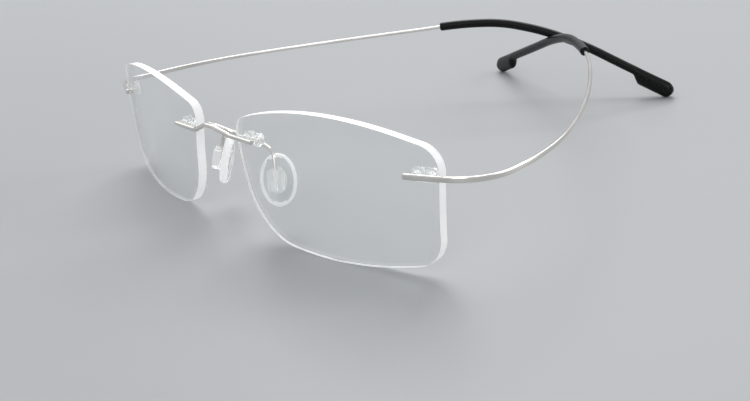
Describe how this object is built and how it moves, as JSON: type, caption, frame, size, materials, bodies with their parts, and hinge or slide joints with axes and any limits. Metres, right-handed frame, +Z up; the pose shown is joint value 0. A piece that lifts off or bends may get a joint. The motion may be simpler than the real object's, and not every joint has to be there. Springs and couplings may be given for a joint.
{
  "type": "eyeglasses",
  "caption": "Rimless glasses: drilled lenses on clear bushings, wavy bridge bar, pad arms with oval nose pads, and hingeless springy wire temples with black sleeves.",
  "frame": {"origin": "on the ground under the middle of the glasses, which stand on the lower edges of the lenses and on the tips of the temples", "axes": "+X to the wearer's left, +Y back towards the ears, +Z up"},
  "size_m": [0.1352, 0.1109, 0.0291],
  "materials": {
    "lens": "clear polished plastic",
    "clear_plastic": "clear moulded plastic",
    "silicone": "clear soft silicone",
    "sleeve": "matt black",
    "titanium": "satin titanium"
  },
  "bodies": {
    "front": {"bridge_bar": "titanium", "bridge_pins": "titanium", "left_lens": "lens", "left_nasal_bushing": "clear_plastic", "left_outer_bushing": "clear_plastic", "left_end_pins": "titanium", "left_pad_arm": "titanium", "left_end_piece": "titanium", "right_lens": "lens", "right_nasal_bushing": "clear_plastic", "right_outer_bushing": "clear_plastic", "right_end_pins": "titanium", "right_pad_arm": "titanium", "right_end_piece": "titanium"},
    "left_temple": {"left_temple": "titanium", "left_temple_sleeve": "sleeve"},
    "left_pad": {"left_nose_pad": "silicone", "left_pad_clip": "clear_plastic"},
    "right_temple": {"right_temple": "titanium", "right_temple_sleeve": "sleeve"},
    "right_pad": {"right_nose_pad": "silicone", "right_pad_clip": "clear_plastic"}
  },
  "joints": [
    {"name": "left_temple_flex", "type": "hinge", "parent": "front", "child": "left_temple", "pos_m": [0.06692, -0.03395, 0.01864], "axis": [0, 0, -1], "range_deg": [0, 33], "stiffness_Nm_per_rad": 0.06},
    {"name": "right_temple_flex", "type": "hinge", "parent": "front", "child": "right_temple", "pos_m": [-0.06692, -0.03395, 0.01864], "axis": [0, 0, 1], "range_deg": [0, 44], "stiffness_Nm_per_rad": 0.06},
    {"name": "left_pad_rock", "type": "hinge", "parent": "front", "child": "left_pad", "pos_m": [0.01198, -0.04753, 0.01102], "axis": [-0.222, 0.2381, 0.9455], "range_deg": [-12, 12]},
    {"name": "right_pad_rock", "type": "hinge", "parent": "front", "child": "right_pad", "pos_m": [-0.01198, -0.04753, 0.01102], "axis": [0.222, 0.2381, 0.9455], "range_deg": [-12, 12]}
  ],
  "couplings": [
    {"joint": "right_temple_flex", "follows": "left_temple_flex", "ratio": 1.33}
  ]
}
